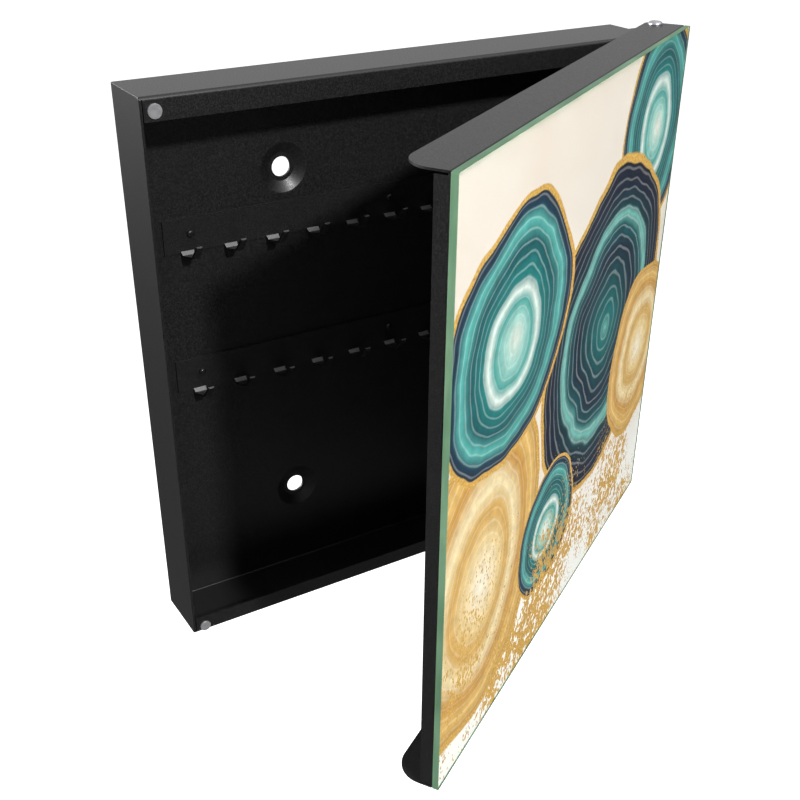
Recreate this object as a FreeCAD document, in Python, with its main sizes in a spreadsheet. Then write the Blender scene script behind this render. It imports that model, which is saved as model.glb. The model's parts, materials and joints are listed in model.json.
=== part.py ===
import FreeCAD, Part
import math
import os
import Sketcher

# Shallow wall cabinet with two rows of sheet steel hooks and a glass front that
# swings on two pivot rivets and closes against two small magnets.
# Millimetres. X runs to the right, Y into the wall, Z up. The origin lies on the
# wall plane, midway between the four screw holes.

doc = FreeCAD.newDocument("KeyCabinet")

# Driving sizes. Angles are in degrees, counts are whole numbers, the rest is in mm.
SIZES = [
    # case
    ("case_width", 300, "outside width of the case"),
    ("case_height", 300, "outside height of the case"),
    ("case_depth", 37.5, "front of the lips to the back of the back panel"),
    ("case_sheet", 1.2, "sheet thickness of the case"),
    ("case_bend", 1.8, "outer bend radius of the case"),
    ("seam_round", 0.5, "rounding of the corner seams"),
    ("lip_top", 11.3, "height of the upper lip"),
    ("lip_bottom", 9.6, "height of the lower lip"),
    ("lip_relief", 0.5, "slit between a lip and the side wall"),
    # dished screw holes
    ("screw_pitch_x", 127, "screw holes, side to side"),
    ("screw_pitch_z", 194, "screw holes, up and down"),
    ("screw_hole", 5.25, "radius of a screw hole"),
    ("dish_depth", 3, "how far a dish is pressed back to reach the wall"),
    ("dish_floor", 7.5, "radius of the flat floor of a dish"),
    ("dish_mouth", 13, "radius of a dish at the panel"),
    ("dish_rim", 0.8, "flat ring of panel made with the dish"),
    ("dish_bend", 1.4, "bend radius at the mouth of a dish"),
    # hook strips
    ("strip_margin", 17.5, "end of a hook strip to the outside of the case"),
    ("strip_height", 18, "height of a hook strip"),
    ("strip_sheet", 1, "sheet thickness of a hook strip"),
    ("upper_strip_edge", 62, "lower edge of the upper strip, up from the middle"),
    ("lower_strip_edge", -16, "lower edge of the lower strip, up from the middle"),
    ("hook_count", 11, "hooks on a strip"),
    ("hook_margin", 12.2, "last hook to the end of its strip"),
    ("hook_start", 0.8, "first bend of a hook, up from the lower edge of its strip"),
    ("hook_step_out", 1.8, "slanted root of a hook, outward"),
    ("hook_step_down", 1.6, "slanted root of a hook, downward"),
    ("hook_shelf", 9, "shelf of a hook, outward"),
    ("hook_shelf_rise", 1.7, "shelf of a hook, upward"),
    ("hook_arm", 6, "arm of a hook, outward"),
    ("hook_arm_rise", 7.3, "arm of a hook, upward"),
    ("hook_bend", 1.4, "outer bend radius of a hook"),
    ("hook_root_half", 3.5, "half width of a hook at its root"),
    ("hook_neck_half", 2.1, "half width of a hook where its arm starts"),
    ("hook_tip_half", 1.6, "half width of a hook at its tip"),
    ("hook_tip_round", 1, "rounding of the tip corners"),
    # rivets of the strips
    ("rivet_margin", 14.5, "outer rivet to the end of its strip"),
    ("rivet_lift", 9.6, "rivets, up from the lower edge of the strip"),
    ("rivet_head", 2.1, "radius of a rivet head"),
    ("rivet_dome", 1.4, "height of a rivet head"),
    ("rivet_shank", 1.2, "radius of a rivet shank"),
    ("rivet_tail", 1.8, "radius of the closed rivet end"),
    ("rivet_tail_height", 0.8, "height of the closed rivet end"),
    # magnets
    ("magnet_proud", 0.95, "height of a magnet on the lip"),
    ("magnet_edge", 0.2, "edge chamfer of a magnet"),
    ("magnet_top_radius", 3.45, "radius of the upper magnet"),
    ("magnet_top_drop", 6.6, "upper magnet to the top of the case"),
    ("magnet_bottom_radius", 3.1, "radius of the lower magnet"),
    ("magnet_bottom_drop", 3.6, "lower magnet to the bottom of the case"),
    ("magnet_inset", 6.9, "magnet centre to the free side of the case"),
    # door
    ("door_over", 2.2, "glass beyond the case at the top and at the bottom"),
    ("hinge_overhang", 19.8, "glass beyond the case at the hinge side when closed"),
    ("glass_thickness", 3.2, "thickness of the glass"),
    ("glass_corner", 1.2, "corner rounding of the glass"),
    ("glass_edge", 0.25, "polished edge chamfer of the glass"),
    ("print_thickness", 0.2, "thickness of the printed layer"),
    ("print_inset", 0.4, "printed layer to the edge of the glass"),
    ("tray_sheet", 1, "sheet thickness of the door tray"),
    ("tray_bend", 0.9, "outer bend radius of the door tray"),
    ("tray_inset", 0.6, "tray edge to the glass edge at the two sides"),
    ("flange_reach", 22, "depth of the upper and lower flanges"),
    ("flange_free_round", 14, "flange corner at the free side"),
    ("flange_hinge_round", 4, "flange corner at the hinge side"),
    ("side_flange_reach", 6.7, "depth of the flange at the free side"),
    ("side_flange_gap", 1, "side flange to the upper and lower flanges"),
    ("side_gap", 0.6, "side flange to the case wall when closed"),
    # hinge
    ("door_gap", 1, "case front to the door plate when closed"),
    ("pivot_inset", 6.5, "pivot to the glass edge at the hinge side"),
    ("pivot_depth", 18.7, "pivot to the front of the glass"),
    ("pivot_radius", 2, "radius of a pivot rivet"),
    ("pivot_play", 0.05, "running clearance round and along a pivot rivet"),
    ("pivot_head", 4.2, "radius of a pivot rivet head"),
    ("pivot_dome", 1.8, "height of a pivot rivet head"),
    ("pivot_tail", 3, "radius of the closed end of a pivot rivet"),
    ("pivot_tail_height", 1, "height of the closed end of a pivot rivet"),
    ("washer_radius", 4.5, "radius of a hinge washer"),
    ("ear_margin", 5.5, "metal round the pivot in an ear of the case"),
    ("ear_reach", 20, "depth of an ear of the case"),
    ("open_angle", 31.9, "how far the door stands open, degrees"),
]

# Sizes that follow from the driving ones.
FOLLOWING = [
    ("half_width", "=case_width / 2"),
    ("half_height", "=case_height / 2"),
    ("inner_half_width", "=half_width - case_sheet"),
    ("inner_half_height", "=half_height - case_sheet"),
    ("front", "=case_depth + dish_depth"),
    ("behind_lip", "=front - case_sheet"),
    ("panel_face", "=dish_depth + case_sheet"),
    ("mouth_depth", "=front - panel_face"),
    ("mouth_top", "=half_height - lip_top"),
    ("mouth_bottom", "=half_height - lip_bottom"),
    ("case_inner_bend", "=case_bend - case_sheet"),
    ("fold_width", "=2 * inner_half_width"),
    ("relief_inner", "=inner_half_width - lip_relief"),
    ("screw_x", "=screw_pitch_x / 2"),
    ("screw_z", "=screw_pitch_z / 2"),
    ("dish_slope_shift", "=case_sheet * tan(atan(dish_depth / (dish_mouth - dish_floor)) / 2)"),
    ("dish_floor_back", "=dish_floor - dish_slope_shift"),
    ("dish_mouth_back", "=dish_mouth - dish_slope_shift"),
    ("dish_outside", "=dish_mouth + dish_rim"),
    ("dish_cut", "=dish_mouth + dish_rim / 2"),
    ("dish_floor_face", "=case_sheet"),
    ("strip_length", "=case_width - 2 * strip_margin"),
    ("strip_half", "=strip_length / 2"),
    ("strip_face", "=panel_face + strip_sheet"),
    ("hook_overlap", "=hook_start + strip_sheet / 2"),
    ("hook_first_x", "=strip_half - hook_margin"),
    ("hook_span", "=2 * hook_first_x"),
    ("hook_fall", "=atan(hook_step_down / hook_step_out)"),
    ("hook_slope", "=atan(hook_shelf_rise / hook_shelf)"),
    ("hook_rise", "=atan(hook_arm_rise / hook_arm)"),
    ("hook_start_turn", "=tan(atan(hook_step_out / hook_step_down) / 2)"),
    ("hook_step_turn", "=tan((hook_fall + hook_slope) / 2)"),
    ("hook_arm_turn", "=tan((hook_rise - hook_slope) / 2)"),
    ("hook_step_y", "=strip_face + hook_step_out"),
    ("hook_shelf_y", "=hook_step_y + hook_shelf"),
    ("hook_tip_y", "=hook_shelf_y + hook_arm"),
    ("hook_step_z", "=hook_start - hook_step_down"),
    ("hook_shelf_z", "=hook_step_z + hook_shelf_rise"),
    ("hook_tip_z", "=hook_shelf_z + hook_arm_rise"),
    ("hook_start_under", "=hook_start - strip_sheet * hook_start_turn"),
    ("hook_step_out_under", "=strip_sheet * (hook_step_turn * cos(hook_fall) - sin(hook_fall))"),
    ("hook_step_in_under", "=strip_sheet * (hook_step_turn * sin(hook_fall) + cos(hook_fall))"),
    ("hook_arm_out_under", "=strip_sheet * (hook_arm_turn * cos(hook_slope) + sin(hook_slope))"),
    ("hook_arm_in_under", "=strip_sheet * (cos(hook_slope) - hook_arm_turn * sin(hook_slope))"),
    ("hook_step_under_y", "=hook_step_y + hook_step_out_under"),
    ("hook_step_under_z", "=hook_step_z - hook_step_in_under"),
    ("hook_shelf_under_y", "=hook_shelf_y + hook_arm_out_under"),
    ("hook_shelf_under_z", "=hook_shelf_z - hook_arm_in_under"),
    ("hook_tip_under_y", "=hook_tip_y + strip_sheet * sin(hook_rise)"),
    ("hook_tip_under_z", "=hook_tip_z - strip_sheet * cos(hook_rise)"),
    ("hook_width", "=2 * hook_root_half"),
    ("hook_beyond_y", "=hook_tip_under_y + strip_sheet"),
    ("hook_beside", "=hook_root_half + strip_sheet"),
    ("hook_tip_inner", "=hook_tip_half - 1.2 * hook_tip_round"),
    ("rivet_head_face", "=strip_face + rivet_dome"),
    ("rivet_tail_face", "=dish_depth - rivet_tail_height"),
    ("rivet_round", "=0.95 * rivet_dome"),
    ("rivet_outer_x", "=strip_half - rivet_margin"),
    ("rivet_span", "=2 * rivet_outer_x"),
    ("upper_rivet_z", "=upper_strip_edge + rivet_lift"),
    ("lower_rivet_z", "=lower_strip_edge + rivet_lift"),
    ("magnet_x", "=half_width - magnet_inset"),
    ("magnet_top_z", "=half_height - magnet_top_drop"),
    ("magnet_bottom_z", "=magnet_bottom_drop - half_height"),
    ("magnet_face", "=front + magnet_proud"),
    ("magnet_shoulder", "=magnet_face - magnet_edge"),
    ("magnet_top_rim", "=magnet_top_radius - magnet_edge"),
    ("magnet_bottom_rim", "=magnet_bottom_radius - magnet_edge"),
    ("tray_front", "=glass_thickness + print_thickness"),
    ("hinge_x", "=half_width + hinge_overhang - pivot_inset"),
    ("hinge_y", "=front + door_gap + tray_front + tray_sheet - pivot_depth"),
    ("door_free", "=hinge_x + half_width + side_gap + tray_sheet + tray_inset"),
    ("glass_half_height", "=half_height + door_over"),
    ("print_free", "=door_free - print_inset"),
    ("print_end", "=pivot_inset - print_inset"),
    ("print_half_height", "=glass_half_height - print_inset"),
    ("glass_back", "=pivot_depth - glass_thickness"),
    ("plate_front", "=pivot_depth - tray_front"),
    ("tray_free", "=door_free - tray_inset"),
    ("tray_free_inner", "=tray_free - tray_sheet"),
    ("tray_end", "=pivot_inset - tray_inset"),
    ("flange_back", "=flange_reach - plate_front"),
    ("flange_under", "=glass_half_height - tray_sheet"),
    ("side_flange_back", "=plate_front - side_flange_reach"),
    ("side_flange_half", "=flange_under - side_flange_gap"),
    ("side_flange_height", "=2 * side_flange_half"),
    ("pivot_hole", "=pivot_radius + pivot_play"),
    ("washer_top", "=flange_under - half_height - pivot_play"),
    ("head_under", "=glass_half_height - half_height + pivot_play"),
    ("head_top", "=head_under + pivot_dome"),
    ("ear_under", "=-case_sheet"),
    ("tail_under", "=ear_under - pivot_tail_height"),
    ("pivot_round", "=0.95 * pivot_dome"),
    ("ear_end", "=hinge_x + ear_margin"),
    ("ear_root", "=half_width - case_sheet"),
    ("ear_front", "=front - case_bend"),
    ("ear_back", "=front - ear_reach"),
]

sheet = doc.addObject("Spreadsheet::Sheet", "Sizes")
for row, (name, value, meaning) in enumerate(SIZES, 1):
    sheet.set(f"A{row}", name)
    sheet.set(f"B{row}", str(value))
    sheet.set(f"C{row}", meaning)
    sheet.setAlias(f"B{row}", name)
for row, (name, formula) in enumerate(FOLLOWING, len(SIZES) + 1):
    sheet.set(f"A{row}", name)
    sheet.setAlias(f"B{row}", name)
    sheet.set(f"B{row}", formula)
doc.recompute()


def amount(size):
    """Number behind a size name. A leading minus turns the sign."""
    if size == "0":
        return 0.0
    if size.startswith("-"):
        return -amount(size[1:])
    return float(sheet.get(size))


def linked(size):
    """The same size as a formula for a bound property."""
    if size.startswith("-"):
        return "-Sizes." + size[1:]
    return "Sizes." + size


def origin_of(body, role):
    """Plane or axis of a body's own origin."""
    for item in body.Origin.OriginFeatures:
        if item.Role == role:
            return item
    raise ValueError(role)


def new_body(name):
    body = doc.addObject("PartDesign::Body", name)
    body.Label = name
    body.AllowCompound = True
    return body


def new_sketch(body, name, plane, across="0", up="0", lift="0"):
    """Sketch on an origin plane, shifted in the plane and lifted off it."""
    sketch = body.newObject("Sketcher::SketchObject", name)
    sketch.AttachmentSupport = [(origin_of(body, plane), "")]
    sketch.MapMode = "FlatFace"
    for axis, size in zip("xyz", (across, up, lift)):
        if size != "0":
            sketch.setExpression("AttachmentOffset.Base." + axis, linked(size))
    sketch.Visibility = False
    return sketch


def apply_rules(sketch, rules):
    """Add (constraint, size) pairs at once, then bind those that have a size."""
    first = sketch.ConstraintCount
    sketch.addConstraint([constraint for constraint, size in rules])
    for index, (constraint, size) in enumerate(rules, first):
        if size:
            sketch.setExpression(f"Constraints[{index}]", linked(size))


def held_point(item, end, across, up):
    """Rules that tie one point to its two distances from the sketch origin."""
    rules = []
    for kind, size, line in (("DistanceX", across, -2), ("DistanceY", up, -1)):
        if size == "0":
            rules.append((Sketcher.Constraint("PointOnObject", item, end, line), None))
        else:
            rules.append((Sketcher.Constraint(kind, -1, 1, item, end, amount(size)), size))
    return rules


def add_circle(sketch, radius, across="0", up="0"):
    centre = FreeCAD.Vector(amount(across), amount(up), 0)
    normal = FreeCAD.Vector(0, 0, 1)
    item = sketch.addGeometry(Part.Circle(centre, normal, amount(radius)))
    rules = held_point(item, 3, across, up)
    rules.append((Sketcher.Constraint("Radius", item, amount(radius)), radius))
    apply_rules(sketch, rules)


def add_outline(sketch, corners):
    """Closed outline through corners (across, up) or (across, up, radius)."""
    count = len(corners)
    points = [FreeCAD.Vector(amount(c[0]), amount(c[1]), 0) for c in corners]
    trims = []
    for index, corner in enumerate(corners):
        trim = 0.0
        if len(corner) == 3:
            back = points[index - 1] - points[index]
            ahead = points[(index + 1) % count] - points[index]
            trim = amount(corner[2]) / math.tan(back.getAngle(ahead) / 2)
        trims.append(trim)
    lines = []
    for index in range(count):
        after = (index + 1) % count
        along = (points[after] - points[index]).normalize()
        start = points[index] + along * trims[index]
        end = points[after] - along * trims[after]
        lines.append(sketch.addGeometry(Part.LineSegment(start, end)))
    rules = []
    for index, corner in enumerate(corners):
        before = lines[index - 1]
        after = lines[index]
        if len(corner) == 2:
            rules.append((Sketcher.Constraint("Coincident", before, 2, after, 1), None))
            rules += held_point(after, 1, corner[0], corner[1])
        else:
            rules += bent_corner(sketch, points[index], before, after, corner)
    apply_rules(sketch, rules)


def bent_corner(sketch, point, before, after, corner):
    """Arc at one corner, with the sharp corner kept as a guide point."""
    start = sketch.Geometry[before].EndPoint
    end = sketch.Geometry[after].StartPoint
    radius = amount(corner[2])
    trim = (start - point).Length
    inward = ((start + end) / 2 - point).normalize()
    centre = point + inward * math.hypot(radius, trim)
    angles = [math.atan2(tip.y - centre.y, tip.x - centre.x) for tip in (start, end)]
    first = 1 if (angles[1] - angles[0]) % (2 * math.pi) < math.pi else 2
    if first == 2:
        angles.reverse()
    circle = Part.Circle(centre, FreeCAD.Vector(0, 0, 1), radius)
    arc = sketch.addGeometry(Part.ArcOfCircle(circle, *angles))
    guide = sketch.addGeometry(Part.Point(point), True)
    return held_point(guide, 1, corner[0], corner[1]) + [
        (Sketcher.Constraint("PointOnObject", guide, 1, before), None),
        (Sketcher.Constraint("PointOnObject", guide, 1, after), None),
        (Sketcher.Constraint("Tangent", before, 2, arc, first), None),
        (Sketcher.Constraint("Tangent", arc, 3 - first, after, 1), None),
        (Sketcher.Constraint("Radius", arc, radius), corner[2]),
    ]


def add_box(sketch, left, bottom, right, top):
    add_outline(sketch, [(left, bottom), (right, bottom), (right, top), (left, top)])


def swept(body, kind, name, sketch, length, reverse=False, centred=False):
    """Pad or Pocket of a sketch by a bound length."""
    feature = body.newObject("PartDesign::" + kind, name)
    feature.Profile = sketch
    feature.setExpression("Length", linked(length))
    feature.Reversed = reverse
    if centred:
        feature.SideType = "Symmetric"
    doc.recompute()
    return feature


def turned(body, name, sketch):
    """Full turn of a sketch about its own upright axis."""
    feature = body.newObject("PartDesign::Revolution", name)
    feature.Profile = sketch
    feature.ReferenceAxis = (sketch, ["V_Axis"])
    feature.Angle = 360
    doc.recompute()
    return feature


def mirrored(body, name, features, planes):
    """Copies of features in one or two origin planes."""
    group = body.newObject("PartDesign::MultiTransform", name)
    group.Originals = features
    steps = []
    for plane in planes:
        step = body.newObject("PartDesign::Mirrored", name + plane[:2])
        step.MirrorPlane = (origin_of(body, plane), [""])
        steps.append(step)
    group.Transformations = steps
    body.Tip = group
    doc.recompute()
    return group


def in_row(body, name, features, length, count):
    """Copies of features in a row along X."""
    row = body.newObject("PartDesign::LinearPattern", name)
    row.Originals = features
    row.Direction = (origin_of(body, "X_Axis"), [""])
    row.setExpression("Length", linked(length))
    if isinstance(count, str):
        row.setExpression("Occurrences", linked(count))
    else:
        row.Occurrences = count
    body.Tip = row
    doc.recompute()
    return row


def rounded(body, name, base, radius, wanted):
    """Fillet of the edges whose two ends both pass a test."""
    edges = []
    for number, edge in enumerate(base.Shape.Edges, 1):
        ends = [vertex.Point for vertex in edge.Vertexes]
        if len(ends) == 2 and wanted(ends[0], ends[1]):
            edges.append(f"Edge{number}")
    fillet = body.newObject("PartDesign::Fillet", name)
    fillet.Base = (base, edges)
    fillet.setExpression("Radius", linked(radius))
    doc.recompute()
    return fillet


def near(first, second):
    return abs(first - second) < 0.01


# Case: one folded sheet with lips above and below the mouth, four dished screw
# holes in the back panel and two ears that carry the door pivots.
def make_case():
    body = new_body("cabinet_shell")
    outline = new_sketch(body, "case_outline", "XZ_Plane", lift="dish_depth")
    add_box(outline, "-half_width", "-half_height", "half_width", "half_height")
    block = swept(body, "Pad", "case_block", outline, "case_depth")

    front = -amount("front")
    back = -amount("dish_depth")

    def on_fold(one, two):
        on_back = near(one.y, back) and near(two.y, back)
        on_lip = near(one.y, front) and near(two.y, front) and near(one.z, two.z)
        return on_back or on_lip

    folds = rounded(body, "case_folds", block, "case_bend", on_fold)

    def on_seam(one, two):
        upright = near(one.x, two.x) and near(one.z, two.z)
        return upright and abs(one.y - two.y) > amount("case_bend")

    rounded(body, "case_seams", folds, "seam_round", on_seam)

    mouth = new_sketch(body, "mouth_outline", "XZ_Plane", lift="front")
    add_box(mouth, "-inner_half_width", "-mouth_bottom", "inner_half_width", "mouth_top")
    swept(body, "Pocket", "mouth", mouth, "mouth_depth")

    hollow = new_sketch(body, "hollow_outline", "YZ_Plane")
    add_outline(hollow, [
        ("-behind_lip", "-inner_half_height", "case_inner_bend"),
        ("-panel_face", "-inner_half_height", "case_inner_bend"),
        ("-panel_face", "inner_half_height", "case_inner_bend"),
        ("-behind_lip", "inner_half_height", "case_inner_bend"),
    ])
    swept(body, "Pocket", "hollow", hollow, "fold_width", centred=True)

    slits = new_sketch(body, "slit_outlines", "XZ_Plane", lift="front")
    for side in ("-", ""):
        add_box(slits, side + "relief_inner", "mouth_top", side + "inner_half_width",
                "inner_half_height")
        add_box(slits, side + "relief_inner", "-inner_half_height",
                side + "inner_half_width", "-mouth_bottom")
    swept(body, "Pocket", "slits", slits, "case_bend")

    rivet_holes = new_sketch(body, "rivet_hole_outlines", "XZ_Plane", lift="panel_face")
    for height in ("upper_rivet_z", "lower_rivet_z"):
        for across in ("-rivet_outer_x", "0", "rivet_outer_x"):
            add_circle(rivet_holes, "rivet_shank", across, height)
    swept(body, "Pocket", "rivet_holes", rivet_holes, "panel_face")

    hole = new_sketch(body, "dish_opening", "XZ_Plane", "screw_x", "screw_z", "front")
    add_circle(hole, "dish_cut")
    opening = swept(body, "Pocket", "dish_openings", hole, "front")
    section = new_sketch(body, "dish_section", "XY_Plane", across="screw_x", lift="screw_z")
    add_outline(section, [
        ("dish_outside", "-panel_face"),
        ("dish_outside", "-dish_depth"),
        ("dish_mouth_back", "-dish_depth"),
        ("dish_floor_back", "0"),
        ("screw_hole", "0"),
        ("screw_hole", "-dish_floor_face"),
        ("dish_floor", "-dish_floor_face"),
        ("dish_mouth", "-panel_face", "dish_bend"),
    ])
    dish = turned(body, "dish", section)
    mirrored(body, "dishes", [opening, dish], ["YZ_Plane", "XY_Plane"])

    ear = new_sketch(body, "ear_outline", "XY_Plane", lift="inner_half_height")
    add_outline(ear, [
        ("ear_root", "-ear_back"),
        ("ear_root", "-ear_front"),
        ("ear_end", "-ear_front", "ear_margin"),
        ("ear_end", "-ear_back", "ear_margin"),
    ])
    add_circle(ear, "pivot_radius", "hinge_x", "-hinge_y")
    top_ear = swept(body, "Pad", "top_ear", ear, "case_sheet")
    mirrored(body, "ears", [top_ear], ["XY_Plane"])
    return body


# Hook strip: flat strip with hooks folded out of its lower edge. Each hook starts
# with a short slanted root, runs out as a shelf, turns up and tapers to its tip.
def make_strip(name, edge):
    body = new_body(name)
    flat = new_sketch(body, "strip_outline", "XZ_Plane", up=edge, lift="panel_face")
    add_box(flat, "-strip_half", "0", "strip_half", "strip_height")
    for across in ("-rivet_outer_x", "0", "rivet_outer_x"):
        add_circle(flat, "rivet_shank", across, "rivet_lift")
    swept(body, "Pad", "strip", flat, "strip_sheet")

    side = new_sketch(body, "hook_section", "YZ_Plane", up=edge, lift="-hook_first_x")
    add_outline(side, [
        ("-panel_face", "hook_overlap"),
        ("-panel_face", "hook_start_under"),
        ("-hook_step_under_y", "hook_step_under_z", "hook_bend"),
        ("-hook_shelf_under_y", "hook_shelf_under_z", "hook_bend"),
        ("-hook_tip_under_y", "hook_tip_under_z"),
        ("-hook_tip_y", "hook_tip_z"),
        ("-hook_shelf_y", "hook_shelf_z"),
        ("-hook_step_y", "hook_step_z"),
        ("-strip_face", "hook_start"),
        ("-strip_face", "hook_overlap"),
    ])
    arm = swept(body, "Pad", "hook_arm", side, "hook_width", centred=True)

    plan = new_sketch(body, "hook_plan", "XY_Plane", across="-hook_first_x",
                      lift="half_height")
    for side_sign in ("-", ""):
        add_outline(plan, [
            (side_sign + "hook_root_half", "-strip_face"),
            (side_sign + "hook_beside", "-strip_face"),
            (side_sign + "hook_beside", "-hook_beyond_y"),
            (side_sign + "hook_tip_inner", "-hook_beyond_y"),
            (side_sign + "hook_tip_inner", "-hook_tip_under_y"),
            (side_sign + "hook_tip_half", "-hook_tip_under_y", "hook_tip_round"),
            (side_sign + "hook_neck_half", "-hook_shelf_y"),
        ])
    taper = swept(body, "Pocket", "hook_taper", plan, "case_height")
    in_row(body, "hooks", [arm, taper], "hook_span", "hook_count")
    return body


# Rivets of a strip: low domes in front, short closed ends behind the panel.
def make_strip_rivets(name, height):
    body = new_body(name)
    section = new_sketch(body, "rivet_section", "XY_Plane", across="-rivet_outer_x", lift=height)
    add_outline(section, [
        ("0", "-rivet_head_face"),
        ("rivet_head", "-rivet_head_face", "rivet_round"),
        ("rivet_head", "-strip_face"),
        ("rivet_shank", "-strip_face"),
        ("rivet_shank", "-dish_depth"),
        ("rivet_tail", "-dish_depth"),
        ("rivet_tail", "-rivet_tail_face"),
        ("0", "-rivet_tail_face"),
    ])
    rivet = turned(body, "rivet", section)
    in_row(body, "rivets", [rivet], "rivet_span", 3)
    return body


# Magnet: small disc on the lip with its sharp edge taken off.
def make_magnet(name, radius, rim, height):
    body = new_body(name)
    section = new_sketch(body, "magnet_section", "XY_Plane", across="-magnet_x", lift=height)
    add_outline(section, [
        ("0", "-front"),
        ("0", "-magnet_face"),
        (rim, "-magnet_face"),
        (radius, "-magnet_shoulder"),
        (radius, "-front"),
    ])
    turned(body, "magnet", section)
    return body


# Pivot rivet and washer. The lower pair is the upper pair mirrored.
def make_pivot(name, side):
    body = new_body(name)
    section = new_sketch(body, "pivot_section", "XZ_Plane", "hinge_x", side + "half_height",
                         "hinge_y")
    add_outline(section, [
        ("0", side + "head_top"),
        ("pivot_head", side + "head_top", "pivot_round"),
        ("pivot_head", side + "head_under"),
        ("pivot_radius", side + "head_under"),
        ("pivot_radius", side + "ear_under"),
        ("pivot_tail", side + "ear_under"),
        ("pivot_tail", side + "tail_under"),
        ("0", side + "tail_under"),
    ])
    turned(body, "pivot", section)
    return body


def make_washer(name, side):
    body = new_body(name)
    section = new_sketch(body, "washer_section", "XZ_Plane", "hinge_x", side + "half_height",
                         "hinge_y")
    add_outline(section, [
        ("pivot_hole", "0"),
        ("washer_radius", "0"),
        ("washer_radius", side + "washer_top"),
        ("pivot_hole", side + "washer_top"),
    ])
    turned(body, "washer", section)
    return body


# Door pieces are drawn closed, about the pivot line, and turned open together.
def hang_on_pivot(body):
    body.setExpression(
        "Placement",
        "placement(vector(Sizes.hinge_x; -Sizes.hinge_y; 0);"
        " rotation(vector(0; 0; 1); Sizes.open_angle))")


# Door tray: front plate, deep flanges above and below and a narrow flange at the
# free side.
def make_tray():
    body = new_body("door_tray")
    face = new_sketch(body, "plate_outline", "XZ_Plane", lift="plate_front")
    add_box(face, "-tray_free", "-glass_half_height", "tray_end", "glass_half_height")
    swept(body, "Pad", "plate", face, "tray_sheet", reverse=True)

    flange = new_sketch(body, "flange_outline", "XY_Plane", lift="flange_under")
    add_outline(flange, [
        ("-tray_free", "-plate_front"),
        ("tray_end", "-plate_front"),
        ("tray_end", "flange_back", "flange_hinge_round"),
        ("-tray_free", "flange_back", "flange_free_round"),
    ])
    add_circle(flange, "pivot_hole")
    top_flange = swept(body, "Pad", "top_flange", flange, "tray_sheet")
    flanges = mirrored(body, "flanges", [top_flange], ["XY_Plane"])

    side = new_sketch(body, "side_flange_outline", "XY_Plane")
    add_box(side, "-tray_free", "-plate_front", "-tray_free_inner", "-side_flange_back")
    strip = swept(body, "Pad", "side_flange", side, "side_flange_height", centred=True)

    plate_front = -amount("plate_front")
    tray_free = -amount("tray_free")

    def on_fold(one, two):
        on_front = near(one.y, plate_front) and near(two.y, plate_front)
        level = near(one.z, two.z)
        upright = near(one.x, tray_free) and near(two.x, tray_free)
        return on_front and (level or upright)

    rounded(body, "tray_folds", strip, "tray_bend", on_fold)
    hang_on_pivot(body)
    return body


def make_glass():
    body = new_body("glass_panel")
    face = new_sketch(body, "glass_outline", "XZ_Plane", lift="glass_back")
    add_outline(face, [
        ("-door_free", "-glass_half_height", "glass_corner"),
        ("pivot_inset", "-glass_half_height", "glass_corner"),
        ("pivot_inset", "glass_half_height", "glass_corner"),
        ("-door_free", "glass_half_height", "glass_corner"),
    ])
    slab = swept(body, "Pad", "glass", face, "glass_thickness")
    chamfer = body.newObject("PartDesign::Chamfer", "polished_edges")
    edges = [f"Edge{number}" for number, edge in enumerate(slab.Shape.Edges, 1)
             if near(edge.Vertexes[0].Point.y, edge.Vertexes[-1].Point.y)]
    chamfer.Base = (slab, edges)
    chamfer.setExpression("Size", linked("glass_edge"))
    hang_on_pivot(body)
    doc.recompute()
    return body


def make_print():
    body = new_body("glass_print")
    face = new_sketch(body, "print_outline", "XZ_Plane", lift="plate_front")
    add_box(face, "-print_free", "-print_half_height", "print_end", "print_half_height")
    swept(body, "Pad", "print_layer", face, "print_thickness")
    hang_on_pivot(body)
    return body


pieces = [
    make_case(),
    make_strip("hook_strip_upper", "upper_strip_edge"),
    make_strip("hook_strip_lower", "lower_strip_edge"),
    make_strip_rivets("strip_rivets_upper", "upper_rivet_z"),
    make_strip_rivets("strip_rivets_lower", "lower_rivet_z"),
    make_magnet("catch_magnet_top", "magnet_top_radius", "magnet_top_rim", "magnet_top_z"),
    make_magnet("catch_magnet_bottom", "magnet_bottom_radius", "magnet_bottom_rim",
                "magnet_bottom_z"),
    make_pivot("hinge_rivet_top", ""),
    make_pivot("hinge_rivet_bottom", "-"),
    make_washer("hinge_washer_top", ""),
    make_washer("hinge_washer_bottom", "-"),
    make_tray(),
    make_glass(),
    make_print(),
]
doc.recompute()

for item in doc.Objects:
    if "Invalid" in item.State or "Error" in item.State:
        raise ValueError(f"{item.Name} did not build")
os.makedirs("parts", exist_ok=True)
for piece in pieces:
    if piece.Shape.isNull() or not piece.Shape.isValid():
        raise ValueError(f"{piece.Label} has no valid shape")
    piece.Shape.exportStep(f"parts/{piece.Label}.step")
    print(f"{piece.Label}: {len(piece.Shape.Solids)} solid(s), {piece.Shape.Volume:.1f} mm3")
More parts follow.
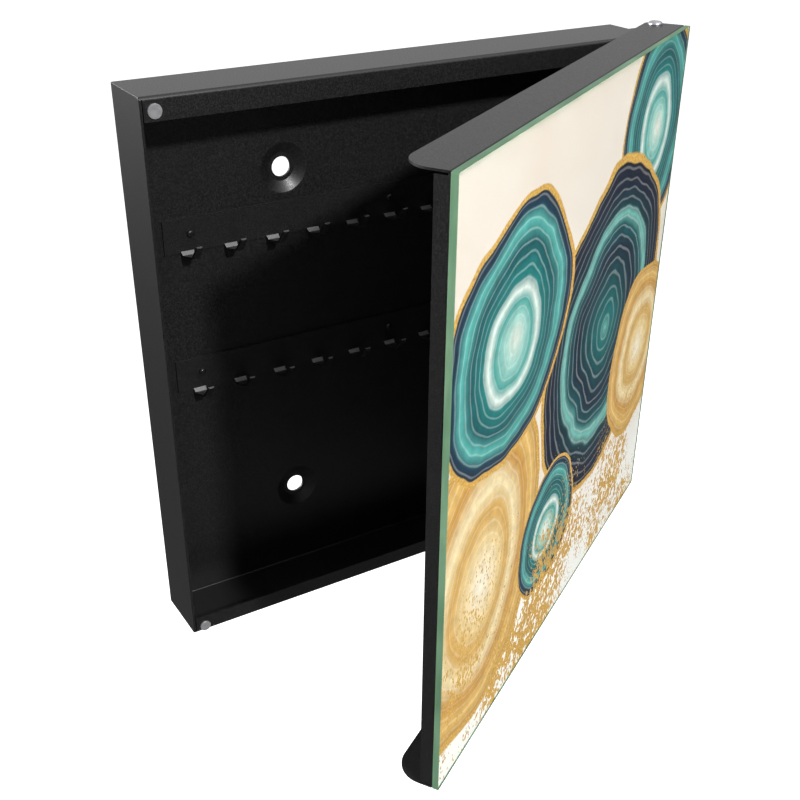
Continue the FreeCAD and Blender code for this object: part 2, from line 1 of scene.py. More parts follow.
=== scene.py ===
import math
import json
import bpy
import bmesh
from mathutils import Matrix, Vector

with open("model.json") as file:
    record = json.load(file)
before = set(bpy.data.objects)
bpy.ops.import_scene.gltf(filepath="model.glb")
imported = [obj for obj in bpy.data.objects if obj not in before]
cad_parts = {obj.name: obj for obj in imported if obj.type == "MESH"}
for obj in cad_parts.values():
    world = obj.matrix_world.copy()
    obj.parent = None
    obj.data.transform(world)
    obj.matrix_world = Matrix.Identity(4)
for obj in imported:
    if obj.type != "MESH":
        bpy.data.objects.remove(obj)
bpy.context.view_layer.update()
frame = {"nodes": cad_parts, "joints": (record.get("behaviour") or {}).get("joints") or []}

# %% [markdown]
# # A shallow wall cabinet with a printed glass door
#
# The cabinet is folded from black coated sheet steel. Two strips of small hooks are
# riveted to its back, and a glass door with a printed picture swings in front. The shapes
# come from the CAD frame, so this lesson is about finishes, light and the camera. The
# frame is in metres, with X to the right, Y into the wall and Z up.

nodes = frame["nodes"]
hinge = frame["joints"][0]
hinge_place = Vector(hinge["pos_m"])
open_angle = -math.radians(hinge["range_deg"][0])
print("door stands open by", round(math.degrees(open_angle), 1), "degrees")

# %% [markdown]
# ## Small helpers for node trees
#
# A material is a tree of nodes. Written out one by one, even a plain tree is long, so a
# few helpers add a node, fill its inputs and hand back its output. An input may be a
# number, a colour or the output of another node.

# %% Helpers that add nodes
def fill(tree, socket, value):
    """Set an input to a plain value, or link it to an output."""
    if isinstance(value, bpy.types.NodeSocket):
        tree.links.new(value, socket)
    elif value is not None:
        socket.default_value = value


def add_node(tree, kind, inputs=None, **settings):
    node = tree.nodes.new("ShaderNode" + kind)
    for name, value in settings.items():
        setattr(node, name, value)
    for name, value in (inputs or {}).items():
        fill(tree, node.inputs[name], value)
    return node


def maths(tree, operation, first, second=None):
    node = add_node(tree, "Math", operation=operation)
    fill(tree, node.inputs[0], first)
    fill(tree, node.inputs[1], second)
    return node.outputs[0]


def mix_colours(tree, share, first, second, blend="MIX"):
    node = add_node(tree, "Mix", data_type="RGBA", blend_type=blend)
    fill(tree, node.inputs[0], share)
    fill(tree, node.inputs[6], first)
    fill(tree, node.inputs[7], second)
    return node.outputs[2]


def rescale(tree, value, low, high, new_low=0.0, new_high=1.0):
    node = add_node(tree, "MapRange", {
        "Value": value, "From Min": low, "From Max": high,
        "To Min": new_low, "To Max": new_high})
    return node.outputs[0]


def noise(tree, vector, scale, detail=3.0, roughness=0.5, distortion=0.0):
    node = add_node(tree, "TexNoise", {
        "Vector": vector, "Scale": scale, "Detail": detail,
        "Roughness": roughness, "Distortion": distortion})
    return node.outputs["Fac"]


def colour_ramp(tree, value, stops):
    """Colours along a value. Each stop is (place, colour)."""
    node = add_node(tree, "ValToRGB")
    ramp = node.color_ramp
    while len(ramp.elements) < len(stops):
        ramp.elements.new(0.5)
    for element, (place, colour) in zip(ramp.elements, stops):
        element.position = place
        element.color = colour
    fill(tree, node.inputs[0], value)
    return node.outputs[0]


print("node helpers ready")

# %% [markdown]
# A look that several materials share goes into a group, which is a small tree with named
# inputs and outputs. A material starts from Blender's Principled shader, whose plain
# values are set on its own sockets.

# %% Helpers that start a group or a material
def new_group(name, inputs, outputs):
    """Shader node group with named sockets: {name: (kind, default)} and {name: kind}."""
    group = bpy.data.node_groups.new(name, "ShaderNodeTree")
    for socket, (kind, default) in inputs.items():
        made = group.interface.new_socket(socket, in_out="INPUT", socket_type=kind)
        if default is not None:
            made.default_value = default
    for socket, kind in outputs.items():
        group.interface.new_socket(socket, in_out="OUTPUT", socket_type=kind)
    given = group.nodes.new("NodeGroupInput").outputs
    result = group.nodes.new("NodeGroupOutput").inputs
    return group, given, result


def use_group(tree, group, **inputs):
    node = tree.nodes.new("ShaderNodeGroup")
    node.node_tree = group
    for name, value in inputs.items():
        fill(tree, node.inputs[name], value)
    return node.outputs


def new_material(name, **settings):
    """Material with a Principled shader that has these plain values."""
    material = bpy.data.materials.new(name)
    material.use_nodes = True
    tree = material.node_tree
    shader = tree.nodes["Principled BSDF"]
    for socket, value in settings.items():
        shader.inputs[socket.replace("_", " ")].default_value = value
    return material, tree, shader


def object_place(tree):
    """Place on the piece in metres, which moves with the piece."""
    return add_node(tree, "TexCoord").outputs["Object"]


def srgb(red, green, blue):
    """Colour as a painter's 0 to 255 values, turned into Blender's linear light."""
    def linear(part):
        part = part / 255
        return part / 12.92 if part <= 0.04045 else ((part + 0.055) / 1.055) ** 2.4
    return (linear(red), linear(green), linear(blue), 1.0)


FLOAT, COLOUR, VECTOR = "NodeSocketFloat", "NodeSocketColor", "NodeSocketVector"
print("group and material helpers ready")

# %% [markdown]
# ## Powder coat
#
# The steel is sprayed with dry powder and baked. Up close the skin is a fine grain of
# tiny bumps, and each bump catches a little light, so the black looks speckled. It could
# be a bump map from a picture. Here two noises make it: a fine one for the grain and a
# wide one for the slow change of tone that every sprayed sheet has. Case, strips and
# door tray all use it, so it is a group.
#
# The roots and the tips of the hooks face up and to the front, toward the light. Each gets a
# paler coat of the same grain, which is a painted highlight.

# %% Powder coat group
coat_group, given, result = new_group(
    "powder_coat",
    {"Vector": (VECTOR, None), "Paint": (COLOUR, (0.02, 0.02, 0.02, 1)),
     "Fleck": (COLOUR, (0.06, 0.06, 0.06, 1)), "Grain Scale": (FLOAT, 1500.0),
     "Gloss Shift": (FLOAT, 0.0)},
    {"Color": COLOUR, "Roughness": FLOAT, "Normal": VECTOR})
grain = noise(coat_group, given["Vector"], given["Grain Scale"],
              detail=2.0, roughness=0.6)
patches = noise(coat_group, given["Vector"], scale=22.0, detail=2.0)
fleck_share = rescale(coat_group, grain, 0.45, 0.75)
toned = rescale(coat_group, patches, 0.3, 0.7, 0.8, 1.2)
fleck_share = maths(coat_group, "MULTIPLY", fleck_share, toned)
fill(coat_group, result["Color"],
     mix_colours(coat_group, fleck_share, given["Paint"], given["Fleck"]))
rough = rescale(coat_group, grain, 0.3, 0.7, 0.36, 0.52)
fill(coat_group, result["Roughness"],
     maths(coat_group, "ADD", rough, given["Gloss Shift"]))
coat_bump = add_node(coat_group, "Bump", {
    "Strength": 0.4, "Distance": 0.0001, "Height": grain})
fill(coat_group, result["Normal"], coat_bump.outputs[0])
print("powder coat group:", len(coat_group.nodes), "nodes")

# %% Coated pieces
CASE_GRAIN = 1500.0
STRIP_GRAIN = 1700.0


def coated(name, paint, fleck, grain_scale=CASE_GRAIN, gloss_shift=0.0):
    material, tree, shader = new_material(name, Specular_IOR_Level=0.5)
    coat = use_group(tree, coat_group, **{
        "Vector": object_place(tree), "Paint": paint, "Fleck": fleck,
        "Grain Scale": grain_scale, "Gloss Shift": gloss_shift})
    fill(tree, shader.inputs["Base Color"], coat["Color"])
    fill(tree, shader.inputs["Roughness"], coat["Roughness"])
    fill(tree, shader.inputs["Normal"], coat["Normal"])
    return material


case_coat = coated("case_coat", srgb(19, 19, 20), srgb(40, 40, 41), gloss_shift=-0.05)
strip_coat = coated("strip_coat", srgb(20, 20, 21), srgb(45, 45, 46), STRIP_GRAIN,
                    gloss_shift=-0.05)
# The next two coats are paler: a painted highlight for hook faces that face the light.
root_highlight_coat = coated("root_highlight_coat", srgb(134, 134, 135), srgb(152, 152, 153), STRIP_GRAIN)
tip_highlight_coat = coated("tip_highlight_coat", srgb(78, 78, 79), srgb(92, 92, 93), STRIP_GRAIN)
tray_coat = coated("tray_coat", srgb(19, 19, 20), srgb(40, 40, 42))
print("coats:", case_coat.name, strip_coat.name, root_highlight_coat.name, tip_highlight_coat.name, tray_coat.name)

# %% [markdown]
# A piece may wear several materials, one on each slot, and every triangle names its slot.
# The hooks' triangles that face up and to the front, toward the light, get the paler coats as
# a painted highlight. The tips are those of them that lie far in front of the wall.

# %% Dress the steel pieces
HIGHLIGHT_FACING = Vector((0, -0.66, 0.75))
HIGHLIGHT_ALIGNMENT = 0.85
TIP_PLACE = -0.015
ROOT_SLOT = 1
TIP_SLOT = 2


def dress(node_name, *materials):
    """Give a CAD piece its materials in slot order."""
    mesh = nodes[node_name].data
    mesh.materials.clear()
    for material in materials:
        mesh.materials.append(material)
    return mesh


dress("cabinet_shell", case_coat)
for name in ("hook_strip_upper", "hook_strip_lower"):
    strip = dress(name, strip_coat, root_highlight_coat, tip_highlight_coat)
    for triangle in strip.polygons:
        # Triangles that face the light get the paler coats, a painted highlight.
        if triangle.normal.dot(HIGHLIGHT_FACING) > HIGHLIGHT_ALIGNMENT:
            is_tip = triangle.center.y < TIP_PLACE
            triangle.material_index = TIP_SLOT if is_tip else ROOT_SLOT
dress("door_tray", tray_coat)
print("dressed: case, two strips and the door tray")

# %% [markdown]
# ## Small metal
#
# The catch magnets are nickel plated, the pivot rivets zinc plated, and the strip rivets
# are lacquered black. Plating follows the turned surface under it, so it shows faint fine
# scratches and a slightly uneven sheen. A stretched noise makes the scratches. One group
# serves them all, and the nylon washers too, where it gives the marks of use.

# %% Plated metal group
plate_group, given, result = new_group(
    "plated_metal",
    {"Vector": (VECTOR, None), "Metal": (COLOUR, (0.6, 0.6, 0.6, 1)),
     "Tarnish": (COLOUR, (0.3, 0.3, 0.3, 1)), "Sheen": (FLOAT, 0.25)},
    {"Color": COLOUR, "Roughness": FLOAT, "Normal": VECTOR})
stretch = add_node(plate_group, "Mapping", {"Vector": given["Vector"], "Scale": (1, 1, 14)})
scratches = noise(plate_group, stretch.outputs[0], scale=900.0, detail=4.0, roughness=0.7)
clouds = noise(plate_group, given["Vector"], scale=420.0)
fill(plate_group, result["Color"], mix_colours(
    plate_group, rescale(plate_group, clouds, 0.35, 0.75), given["Metal"], given["Tarnish"]))
unevenness = rescale(plate_group, scratches, 0.3, 0.7, -0.06, 0.12)
fill(plate_group, result["Roughness"],
     maths(plate_group, "ADD", given["Sheen"], unevenness))
plate_bump = add_node(plate_group, "Bump", {
    "Strength": 0.2, "Distance": 0.00005, "Height": scratches})
fill(plate_group, result["Normal"], plate_bump.outputs[0])
print("plated metal group:", len(plate_group.nodes), "nodes")

# %% Plated pieces
def plated(name, metal, tarnish, sheen, metallic):
    material, tree, shader = new_material(name, Metallic=metallic)
    plate = use_group(tree, plate_group, Vector=object_place(tree), Metal=metal,
                      Tarnish=tarnish, Sheen=sheen)
    fill(tree, shader.inputs["Base Color"], plate["Color"])
    fill(tree, shader.inputs["Roughness"], plate["Roughness"])
    fill(tree, shader.inputs["Normal"], plate["Normal"])
    return material


magnet_nickel = plated(
    "magnet_nickel", srgb(170, 170, 172), srgb(150, 150, 153), sheen=0.5, metallic=0.6)
pivot_zinc = plated(
    "pivot_zinc", srgb(200, 200, 204), srgb(160, 162, 168), sheen=0.28, metallic=1.0)
rivet_lacquer = plated(
    "rivet_lacquer", srgb(24, 24, 25), srgb(34, 34, 35), sheen=0.25, metallic=0.0)
washer_nylon = plated(
    "washer_nylon", srgb(22, 22, 22), srgb(30, 30, 30), sheen=0.45, metallic=0.0)
for name in ("catch_magnet_top", "catch_magnet_bottom"):
    dress(name, magnet_nickel)
for name in ("hinge_rivet_top", "hinge_rivet_bottom"):
    dress(name, pivot_zinc)
for name in ("strip_rivets_upper", "strip_rivets_lower"):
    dress(name, rivet_lacquer)
for name in ("hinge_washer_top", "hinge_washer_bottom"):
    dress(name, washer_nylon)
print("dressed: magnets, pivots, rivets and washers")

# %% [markdown]
# ## Glass
#
# The door front is a clear sheet with ground edges. Looked at face on it is nearly
# colourless, while the edges look green, because there the eye looks along the sheet and
# the light has come a long way through it. One clear shader could do both only with many
# light bounces, so the faces and the edges get a material each. Lamps reach the print
# through the glass, so for shadow rays it is simply transparent. The ink touches the back
# of the glass without a film of air, so a ray is bent where it enters the sheet and goes
# on unbent where it leaves.

# %% Shadow rays pass
def let_lamps_through(tree, shader, tint, open_part=0.0):
    """Shadow rays pass the surface with a tint. Others meet the shader or an open part."""
    clear = add_node(tree, "BsdfTransparent", {"Color": tint})
    blend = add_node(tree, "MixShader")
    shadow = add_node(tree, "LightPath").outputs["Is Shadow Ray"]
    fill(tree, blend.inputs[0], maths(tree, "MAXIMUM", shadow, open_part))
    fill(tree, blend.inputs[1], shader.outputs[0])
    fill(tree, blend.inputs[2], clear.outputs[0])
    fill(tree, tree.nodes["Material Output"].inputs["Surface"], blend.outputs[0])


print("lamp light can pass the glass")

# %% Glass faces
glass_face, tree, shader = new_material(
    "glass_face", Base_Color=(0.99, 1.0, 0.995, 1), Roughness=0.0, IOR=1.5,
    Transmission_Weight=1.0, Specular_IOR_Level=0.25)
smears = noise(tree, object_place(tree), scale=60.0, detail=2.0)
fill(tree, shader.inputs["Roughness"], rescale(tree, smears, 0.3, 0.7, 0.0, 0.02))
inked_side = add_node(tree, "NewGeometry").outputs["Backfacing"]
let_lamps_through(tree, shader, (0.98, 0.99, 0.985, 1), inked_side)
print("glass faces:", len(tree.nodes), "nodes")

# %% [markdown]
# The edges are ground and not polished, so they look matt. A noise stretched along the
# edge gives the marks of grinding, and a wide one the change of green along the sheet.

# %% Glass edges
glass_edge, tree, shader = new_material("glass_edge", IOR=1.5, Specular_IOR_Level=0.25)
place = object_place(tree)
depth_tone = noise(tree, place, scale=26.0, detail=2.0)
stretch = add_node(tree, "Mapping", {"Vector": place, "Scale": (1, 1, 0.15)})
streaks = noise(tree, stretch.outputs[0], scale=320.0, roughness=0.6)
tone = maths(tree, "ADD", maths(tree, "MULTIPLY", depth_tone, 0.7),
             maths(tree, "MULTIPLY", streaks, 0.3))
edge_colour = colour_ramp(tree, tone, [
    (0.3, srgb(82, 120, 90)), (0.5, srgb(104, 143, 111)), (0.68, srgb(126, 164, 132))])
fill(tree, shader.inputs["Base Color"], edge_colour)
fill(tree, shader.inputs["Roughness"], rescale(tree, streaks, 0.3, 0.7, 0.4, 0.55))
let_lamps_through(tree, shader, (0.8, 0.92, 0.85, 1))
print("glass edges:", len(tree.nodes), "nodes")

# %% [markdown]
# The glass is one piece, so its triangles are sorted by where they face. A face of the
# sheet looks along the door's normal, and everything else is an edge.

# %% Sort the triangles of a sheet
door_normal = Vector((math.sin(open_angle), -math.cos(open_angle), 0))
FACE_ALIGNMENT = 0.999


def dress_sheet(node_name, face_material, edge_material):
    """The two large faces of a sheet of the door get one material, its edges another."""
    sheet = dress(node_name, face_material, edge_material)
    for triangle in sheet.polygons:
        is_face = abs(triangle.normal.dot(door_normal)) > FACE_ALIGNMENT
        triangle.material_index = 0 if is_face else 1
    edge_count = sum(triangle.material_index for triangle in sheet.polygons)
    print(node_name, len(sheet.polygons), "triangles,", edge_count, "on the edges")


dress_sheet("glass_panel", glass_face, glass_edge)

# %% [markdown]
# ## The print behind the glass
#
# The picture is inked on the back of the glass. It shows sliced stones: rings of cream,
# sea green and deep blue with gilt rims, over watercolour paper with gilt dust. Drawn as
# geometry this would be thousands of shapes. As nodes, each stone is a distance from a
# centre that a noise bends, and a colour ramp turns the distance into rings.

# %% Coordinates on the door
WIDTH = 0.322
FREE_EDGE = 0.3155
HALF_HEIGHT = 0.1522


def door_place(tree):
    """Place on the door: X from the free edge, Z up from the bottom, door width is 1."""
    turn_back = add_node(tree, "Mapping", {
        "Vector": object_place(tree), "Location": hinge_place,
        "Rotation": (0, 0, open_angle)}, vector_type="TEXTURE")
    shift = add_node(tree, "Mapping", {
        "Vector": turn_back.outputs[0],
        "Location": (FREE_EDGE / WIDTH, 0, HALF_HEIGHT / WIDTH),
        "Scale": (1 / WIDTH, 0, 1 / WIDTH)})
    return shift.outputs[0]


print("picture:", WIDTH, "by", 2 * HALF_HEIGHT, "m")

# %% [markdown]
# A stone starts as a plain circle of distance. A slow noise bends it, a squash makes it
# an oval, and a seed gives each stone a noise of its own. The group hands back the rings,
# a mask of the stone, its rim and its hairlines.

# %% One sliced stone
HAIRLINE_RATE = 95.0
stone_group, given, result = new_group(
    "sliced_stone",
    {"Vector": (VECTOR, None), "Centre": (VECTOR, None), "Size": (FLOAT, 0.3),
     "Squash": (FLOAT, 1.0), "Waviness": (FLOAT, 0.1), "Seed": (FLOAT, 0.0)},
    {"Rings": FLOAT, "Inside": FLOAT, "Rim": FLOAT, "Hairlines": FLOAT})
away = add_node(stone_group, "VectorMath", operation="SUBTRACT")
fill(stone_group, away.inputs[0], given["Vector"])
fill(stone_group, away.inputs[1], given["Centre"])
parts = add_node(stone_group, "SeparateXYZ", {"Vector": away.outputs[0]})
with_seed = add_node(stone_group, "CombineXYZ", {
    "X": parts.outputs["X"],
    "Y": maths(stone_group, "MULTIPLY", parts.outputs["Z"], given["Squash"]),
    "Z": given["Seed"]})
without_seed = add_node(stone_group, "CombineXYZ", {
    "X": parts.outputs["X"],
    "Y": maths(stone_group, "MULTIPLY", parts.outputs["Z"], given["Squash"])})
reach = add_node(stone_group, "VectorMath", operation="LENGTH")
fill(stone_group, reach.inputs[0], without_seed.outputs[0])
wobble = noise(stone_group, with_seed.outputs[0], scale=3.2, roughness=0.45)
wobble = maths(stone_group, "MULTIPLY", maths(stone_group, "SUBTRACT", wobble, 0.5),
               given["Waviness"])
bent = maths(stone_group, "ADD", reach.outputs["Value"], wobble)
rings = maths(stone_group, "DIVIDE", bent, given["Size"])
fill(stone_group, result["Rings"], rings)
fill(stone_group, result["Inside"], rescale(stone_group, rings, 1.0, 0.995))
past_rim_start = rescale(stone_group, rings, 0.965, 0.975)
before_rim_end = rescale(stone_group, rings, 1.02, 1.01)
fill(stone_group, result["Rim"],
     maths(stone_group, "MULTIPLY", past_rim_start, before_rim_end))
waves = maths(stone_group, "SINE", maths(stone_group, "MULTIPLY", rings, HAIRLINE_RATE))
fill(stone_group, result["Hairlines"], rescale(stone_group, waves, 0.55, 1.0))
print("stone group:", len(stone_group.nodes), "nodes")

# %% [markdown]
# Ring colours are written as stops, from 0 in the middle of a stone to 1 at its rim. Three
# lists serve all the stones, and each stone has a place, size and shape of its own.

# %% Colours of the picture
PAPER = srgb(235, 226, 215)
BLUSH = srgb(230, 215, 201)
GLOW = srgb(255, 252, 247)
GILT_LIGHT = srgb(234, 192, 104)
GILT_DARK = srgb(176, 126, 46)
SEA_STONE = [
    (0.0, srgb(244, 238, 224)), (0.2, srgb(160, 206, 196)), (0.34, srgb(60, 156, 148)),
    (0.42, srgb(224, 234, 226)), (0.5, srgb(16, 120, 118)), (0.68, srgb(4, 84, 90)),
    (0.8, srgb(84, 172, 164)), (0.9, srgb(8, 50, 72)), (1.0, srgb(6, 30, 52))]
SAND_STONE = [
    (0.0, srgb(252, 242, 222)), (0.25, srgb(236, 208, 152)), (0.42, srgb(206, 158, 74)),
    (0.56, srgb(242, 222, 176)), (0.74, srgb(194, 140, 54)), (0.88, srgb(226, 186, 110)),
    (1.0, srgb(176, 124, 46))]
DEEP_STONE = [
    (0.0, srgb(120, 186, 176)), (0.1, srgb(10, 108, 108)), (0.3, srgb(2, 62, 72)),
    (0.42, srgb(4, 32, 56)), (0.56, srgb(4, 84, 90)), (0.64, srgb(120, 186, 176)),
    (0.7, srgb(2, 56, 66)), (0.84, srgb(4, 26, 50)), (1.0, srgb(2, 16, 36))]
STONES = [
    # centre across, centre up, size, squash, waviness, seed, rings
    (0.86, 0.80, 0.20, 1.10, 0.10, 3.1, SEA_STONE),
    (0.14, 0.30, 0.24, 0.90, 0.12, 7.7, SAND_STONE),
    (0.66, 0.50, 0.31, 1.05, 0.16, 1.3, DEEP_STONE),
    (0.22, 0.66, 0.23, 1.20, 0.12, 5.2, SEA_STONE),
    (0.90, 0.36, 0.17, 1.00, 0.12, 9.4, SAND_STONE),
    (0.42, 0.22, 0.13, 1.10, 0.10, 4.6, SEA_STONE),
]
print("stones:", len(STONES))

# %% [markdown]
# The gilt is speckled, because real gilt ink is fine flakes, so it mixes a light and a
# dark one. The paper is a slow wash of two creams with fine fibres, paler at the foot. The
# dust is made of small cells, and a mask lets more of them show near the bottom.

# %% Gilt, paper and dust
FIBRE_STRENGTH = 0.16
DUST_SHAPE = (1.5, 1, 1)
DUST_DENSITY = 110.0


def gilt_colour(tree, place):
    flakes = noise(tree, place, scale=230.0, roughness=0.7)
    return mix_colours(tree, rescale(tree, flakes, 0.35, 0.65), GILT_DARK, GILT_LIGHT)


def paper_colour(tree, place, up):
    wash = noise(tree, place, scale=2.6, detail=4.0, roughness=0.55, distortion=0.4)
    fibre = noise(tree, place, scale=150.0, roughness=0.6)
    colour = mix_colours(tree, rescale(tree, wash, 0.35, 0.65), PAPER, BLUSH)
    colour = mix_colours(tree, rescale(tree, up, 0.34, 0.1), colour, GLOW)
    fibres = maths(tree, "MULTIPLY", fibre, FIBRE_STRENGTH)
    return mix_colours(tree, fibres, colour, GLOW)


def dust_mask(tree, place, up):
    """Gilt flecks, dense near the bottom and scattered above."""
    tall = add_node(tree, "Mapping", {"Vector": place, "Scale": DUST_SHAPE}).outputs[0]
    cells = add_node(tree, "TexVoronoi", {
        "Vector": tall, "Scale": DUST_DENSITY, "Randomness": 1.0})
    size = noise(tree, place, scale=60.0, detail=1.0)
    near_bottom = rescale(tree, up, 0.5, 0.0, 0.0, 0.85)
    drift = rescale(tree, noise(tree, place, scale=4.0, roughness=0.6), 0.38, 0.58)
    limit = maths(tree, "MULTIPLY", maths(tree, "MULTIPLY", near_bottom, drift), size)
    limit = maths(tree, "MULTIPLY", limit, 2.0)
    gap = maths(tree, "SUBTRACT", limit, cells.outputs["Distance"])
    return rescale(tree, gap, 0.0, 0.03)


print("dust cells across the door:", round(DUST_DENSITY * DUST_SHAPE[0]))

# %% [markdown]
# The stones are laid one over the other, like paper cut-outs, from the paper up. Each
# one lays its ring colours with a few pale hairlines over what is under it, and then its
# gilt rim.

# %% Lay one stone
HAIRLINE_STRENGTH = 0.16


def lay_stone(tree, place, under, gilt, stone):
    across, up, size, squash, waviness, seed, rings = stone
    shape = use_group(tree, stone_group, Vector=place, Centre=(across, 0, up), Size=size,
                      Squash=squash, Waviness=waviness, Seed=seed)
    grain = noise(tree, place, scale=46.0, detail=4.0, roughness=0.6)
    colour = colour_ramp(tree, shape["Rings"], rings)
    hairlines = maths(tree, "MULTIPLY", shape["Hairlines"], HAIRLINE_STRENGTH)
    colour = mix_colours(tree, hairlines, colour, GLOW)
    shade = rescale(tree, grain, 0.3, 0.7, 0.82, 1.12)
    shades = add_node(tree, "CombineXYZ", {"X": shade, "Y": shade, "Z": shade}).outputs[0]
    colour = mix_colours(tree, 1.0, colour, shades, "MULTIPLY")
    laid = mix_colours(tree, shape["Inside"], under, colour)
    return mix_colours(tree, shape["Rim"], laid, gilt)


print("hairlines at", HAIRLINE_STRENGTH)

# %% [markdown]
# The picture goes on the two faces of the printed layer. Its thin edges take the coat of
# the tray, so that no bright line shows beside the glass.

# %% Print the picture
door_print, tree, shader = new_material("door_print", Coat_Weight=0.0)
place = door_place(tree)
up = add_node(tree, "SeparateXYZ", {"Vector": place}).outputs["Z"]
gilt = gilt_colour(tree, place)
picture = paper_colour(tree, place, up)
for stone in STONES:
    picture = lay_stone(tree, place, picture, gilt, stone)
dust = dust_mask(tree, place, up)
picture = mix_colours(tree, dust, picture, gilt)
fill(tree, shader.inputs["Base Color"], picture)
fill(tree, shader.inputs["Roughness"], rescale(tree, dust, 0.0, 1.0, 0.55, 0.35))
dress_sheet("glass_print", door_print, tray_coat)
print("picture:", len(STONES), "stones,", len(tree.nodes), "nodes")

# %% [markdown]
# The back of the glass and the front of the print lie in one plane, and a ray can miss
# one of two surfaces in one place. A modifier draws the print in by a few hundredths of
# a millimetre, so that each has a plane of its own. The print's triangles are welded
# first, so that it stays closed, and its edges are made crisp again afterwards.

# %% Draw the print in a little
PRINT_GAP = 0.00005
WELD_REACH = 0.00001
CRISP_ANGLE = math.radians(30)
print_modifiers = nodes["glass_print"].modifiers
weld = print_modifiers.new("weld", "WELD")
weld.merge_threshold = WELD_REACH
draw_in = print_modifiers.new("draw_in", "DISPLACE")
draw_in.strength = -PRINT_GAP * math.sqrt(3)
draw_in.mid_level = 0.0
crisp = print_modifiers.new("crisp_edges", "EDGE_SPLIT")
crisp.split_angle = CRISP_ANGLE
print("print drawn in by", PRINT_GAP, "m")

# %% [markdown]
# ## Room and light
#
# The cabinet is shown in a plain bright studio. The key lamp stands far in front and
# above, so the upper lip and the door throw clear shadows on the back panel. A weaker
# lamp at the left and behind shows the side wall.
#
# The world is white for the camera and a dim grey for the light that falls on the object,
# so that the black coat stays black. Mirror rays see it bright from behind and above, and
# one soft patch high at the front right gives the glass its sheen.

# %% World
PLAIN_STRENGTH = 0.15
DARK_MIRROR = 0.10
BRIGHT_MIRROR = 0.8
BEHIND_RISE = (-0.3, 0.6)
ABOVE_RISE = (-0.1, 0.7)
SHEEN_STRENGTH = 1.0
SHEEN_DIRECTION = (0.453, -0.406, 0.79)
SHEEN_RISE = (0.86, 0.95)
world = bpy.data.worlds.new("studio")
bpy.context.scene.world = world
world.use_nodes = True
tree = world.node_tree
background = tree.nodes["Background"]
direction = add_node(tree, "TexCoord").outputs["Generated"]
facing = add_node(tree, "SeparateXYZ", {"Vector": direction})
behind = rescale(tree, facing.outputs["Y"], *BEHIND_RISE)
above = rescale(tree, facing.outputs["Z"], *ABOVE_RISE)
bright = maths(tree, "MAXIMUM", behind, above)
room = rescale(tree, bright, 0.0, 1.0, DARK_MIRROR, BRIGHT_MIRROR)
toward = add_node(tree, "VectorMath", operation="DOT_PRODUCT")
fill(tree, toward.inputs[0], direction)
fill(tree, toward.inputs[1], SHEEN_DIRECTION)
sheen = rescale(tree, toward.outputs["Value"], *SHEEN_RISE, 0.0, SHEEN_STRENGTH)
room = maths(tree, "ADD", room, sheen)
path = add_node(tree, "LightPath")
mirror = maths(tree, "MAXIMUM", path.outputs["Is Glossy Ray"],
               path.outputs["Is Transmission Ray"])
plain = maths(tree, "MULTIPLY", maths(tree, "SUBTRACT", 1.0, mirror), PLAIN_STRENGTH)
seen = maths(tree, "ADD", maths(tree, "MULTIPLY", mirror, room), plain)
seen = maths(tree, "MAXIMUM", seen, path.outputs["Is Camera Ray"])
fill(tree, background.inputs["Strength"], seen)
background.inputs["Color"].default_value = (1, 1, 1, 1)
print("world: white to the camera,", PLAIN_STRENGTH, "for plain light")

# %% [markdown]
# The floor is white for the camera. Light that comes up from it fills the shadows a
# little, as a pale room would, and in gloss it is dark, so the coat keeps its depth.

# %% Floor
FLOOR_DROP = 1.1
FLOOR_HALF_SIZE = 9.0
FLOOR_GREY = (0.8, 0.8, 0.8, 1)
FLOOR_IN_GLOSS = (0.09, 0.09, 0.09, 1)
FLOOR_GLOW = 0.55
floor_shape = bmesh.new()
bmesh.ops.create_grid(floor_shape, x_segments=1, y_segments=1, size=FLOOR_HALF_SIZE)
bmesh.ops.translate(floor_shape, verts=floor_shape.verts, vec=(0, 0, -FLOOR_DROP))
floor_mesh = bpy.data.meshes.new("floor")
floor_shape.to_mesh(floor_mesh)
floor_shape.free()
floor = bpy.data.objects.new("floor", floor_mesh)
bpy.context.scene.collection.objects.link(floor)
floor_paint, tree, shader = new_material(
    "floor_paint", Roughness=0.9, Emission_Color=(1, 1, 1, 1), Specular_IOR_Level=0.1)
path = add_node(tree, "LightPath")
fill(tree, shader.inputs["Base Color"], mix_colours(
    tree, path.outputs["Is Glossy Ray"], FLOOR_GREY, FLOOR_IN_GLOSS))
bounce = maths(tree, "MULTIPLY", path.outputs["Is Diffuse Ray"], FLOOR_GLOW)
fill(tree, shader.inputs["Emission Strength"],
     maths(tree, "ADD", path.outputs["Is Camera Ray"], bounce))
floor_mesh.materials.append(floor_paint)
print("floor", FLOOR_DROP, "m below the middle of the case")

# %% [markdown]
# Both lamps are round and aim at the middle of the case. The small key lamp gives firm
# shadows from far away, and the wide side lamp gives soft ones.

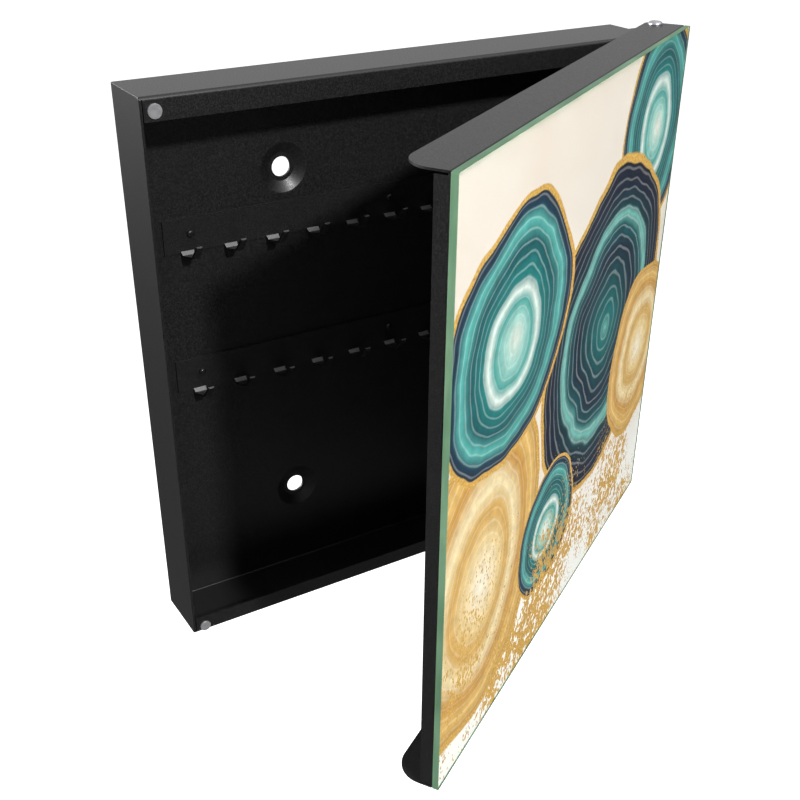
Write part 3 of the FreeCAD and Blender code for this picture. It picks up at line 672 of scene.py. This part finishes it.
# %% Lamps
def soft_lamp(name, place, size, power):
    """Round lamp that looks at the middle of the case."""
    lamp = bpy.data.lights.new(name, "AREA")
    lamp.shape = "DISK"
    lamp.size = size
    lamp.energy = power
    holder = bpy.data.objects.new(name, lamp)
    holder.location = place
    holder.rotation_euler = (-holder.location).to_track_quat("-Z", "Y").to_euler()
    bpy.context.scene.collection.objects.link(holder)
    return holder


key = soft_lamp("key_lamp", place=(0.14, -4.0, 2.57), size=0.37, power=178)
side = soft_lamp("side_lamp", place=(-1.3, 1.0, 0.5), size=1.0, power=39)
print("lamps:", key.name, side.name)

# %% [markdown]
# ## Camera
#
# The camera stands to the left and above, and looks down at the open door. Its lens and
# place were worked out from the corners of the case and the door.

# %% Camera
VIEW_AZIMUTH = math.radians(31.68)
VIEW_DROP = math.radians(30.42)
VIEW_ROLL = math.radians(0.48)
FOCAL_PIXELS = 1149.0
PICTURE_PIXELS = 800
CENTRE_PIXELS = (398.6, 456.0)
CAMERA_PLACE = (-0.32138, -0.53825, 0.27048)
ahead = Vector((math.sin(VIEW_AZIMUTH) * math.cos(VIEW_DROP),
                math.cos(VIEW_AZIMUTH) * math.cos(VIEW_DROP), -math.sin(VIEW_DROP)))
right = Vector((math.cos(VIEW_AZIMUTH), -math.sin(VIEW_AZIMUTH), 0))
upward = right.cross(ahead)
rolled_right = right * math.cos(VIEW_ROLL) + upward * math.sin(VIEW_ROLL)
rolled_up = upward * math.cos(VIEW_ROLL) - right * math.sin(VIEW_ROLL)
lens = bpy.data.cameras.new("camera")
lens.sensor_width = 36.0
lens.lens = FOCAL_PIXELS / PICTURE_PIXELS * lens.sensor_width
lens.shift_x = (PICTURE_PIXELS / 2 - CENTRE_PIXELS[0]) / PICTURE_PIXELS
lens.shift_y = (CENTRE_PIXELS[1] - PICTURE_PIXELS / 2) / PICTURE_PIXELS
camera = bpy.data.objects.new("camera", lens)
bpy.context.scene.collection.objects.link(camera)
turn = Matrix((rolled_right, rolled_up, -ahead)).transposed().to_4x4()
camera.matrix_world = Matrix.Translation(CAMERA_PLACE) @ turn
bpy.context.scene.camera = camera
bpy.context.scene.view_settings.view_transform = "Standard"
print("lens", round(lens.lens, 2), "mm")
